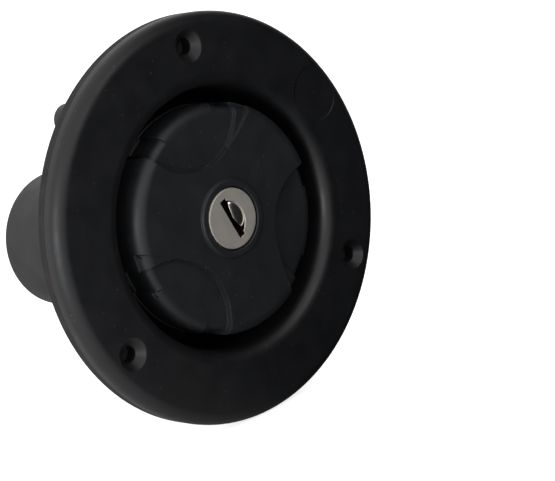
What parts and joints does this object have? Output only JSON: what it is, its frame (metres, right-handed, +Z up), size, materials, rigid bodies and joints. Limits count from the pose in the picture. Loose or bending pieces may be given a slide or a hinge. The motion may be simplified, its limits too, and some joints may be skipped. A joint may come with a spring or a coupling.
{
  "type": "caravan water filler hatch",
  "caption": "Round lockable water filler hatch for a caravan wall: flanged bowl, quick-turn cap with key lock, hose neck and vent nipple.",
  "frame": {"origin": "on the hatch's axis, in the plane where the gasket meets the wall", "axes": "+Z up with a screw hole and the vent nipple at the top, -Y out of the wall through the cap, hose neck towards +Y"},
  "size_m": [0.12, 0.0899, 0.12],
  "materials": {
    "housing_plastic": "moulded black ABS, fine satin grain",
    "cap_plastic": "moulded black ABS, slightly smoother satin",
    "insert_plastic": "moulded black acetal",
    "gasket_rubber": "black EPDM sheet",
    "seal_rubber": "black EPDM",
    "slip_acetal": "natural acetal",
    "face_stainless": "pressed stainless steel, fine satin",
    "lock_zinc": "die-cast zinc",
    "screw_steel": "zinc-plated steel",
    "sheet_steel": "plated steel sheet and wire",
    "spring_steel": "spring steel",
    "wafer_brass": "stamped brass"
  },
  "bodies": {
    "root": {"housing": "housing_plastic", "wall_gasket": "gasket_rubber"},
    "seal": {"cap_seal": "seal_rubber", "slip_ring": "slip_acetal"},
    "cap": {"cap_knob": "cap_plastic", "cap_insert": "insert_plastic", "insert_screws": "screw_steel", "bolt_keeper": "sheet_steel", "keeper_screws": "screw_steel", "lock_barrel": "lock_zinc", "barrel_oring": "seal_rubber", "barrel_circlip": "spring_steel"},
    "plug": {"lock_plug": "lock_zinc", "lock_face": "face_stainless", "shutter_pin": "sheet_steel", "shutter_spring": "spring_steel", "wafers": "wafer_brass", "wafer_springs": "spring_steel", "lock_cam": "lock_zinc", "cam_screw": "screw_steel"},
    "shutter": {"dust_shutter": "face_stainless"},
    "bolt": {"locking_bolt": "lock_zinc"}
  },
  "joints": [
    {"name": "cap_lift", "type": "slide", "parent": "root", "child": "seal", "axis": [0, -1, 0], "range_m": [0, 0.012]},
    {"name": "cap_turn", "type": "hinge", "parent": "seal", "child": "cap", "pos_m": [0, 0, 0], "axis": [0, -1, 0], "range_deg": [0, 120]},
    {"name": "key_turn", "type": "hinge", "parent": "cap", "child": "plug", "pos_m": [0, 0, 0], "axis": [0, 1, 0], "range_deg": [0, 90]},
    {"name": "bolt_slide", "type": "slide", "parent": "cap", "child": "bolt", "axis": [1, 0, 0], "range_m": [0, 0.0026]},
    {"name": "shutter_flip", "type": "hinge", "parent": "plug", "child": "shutter", "pos_m": [0.00479, -0.0087, 0.00174], "axis": [0.342, 0, -0.9397], "range_deg": [0, 50], "stiffness_Nm_per_rad": 0.0002, "springref_deg": -28.65}
  ],
  "couplings": [
    {"joint": "cap_lift", "follows": "cap_turn", "m_per_rad": 0.0057296},
    {"joint": "bolt_slide", "follows": "key_turn", "m_per_rad": 0.0016552}
  ]
}
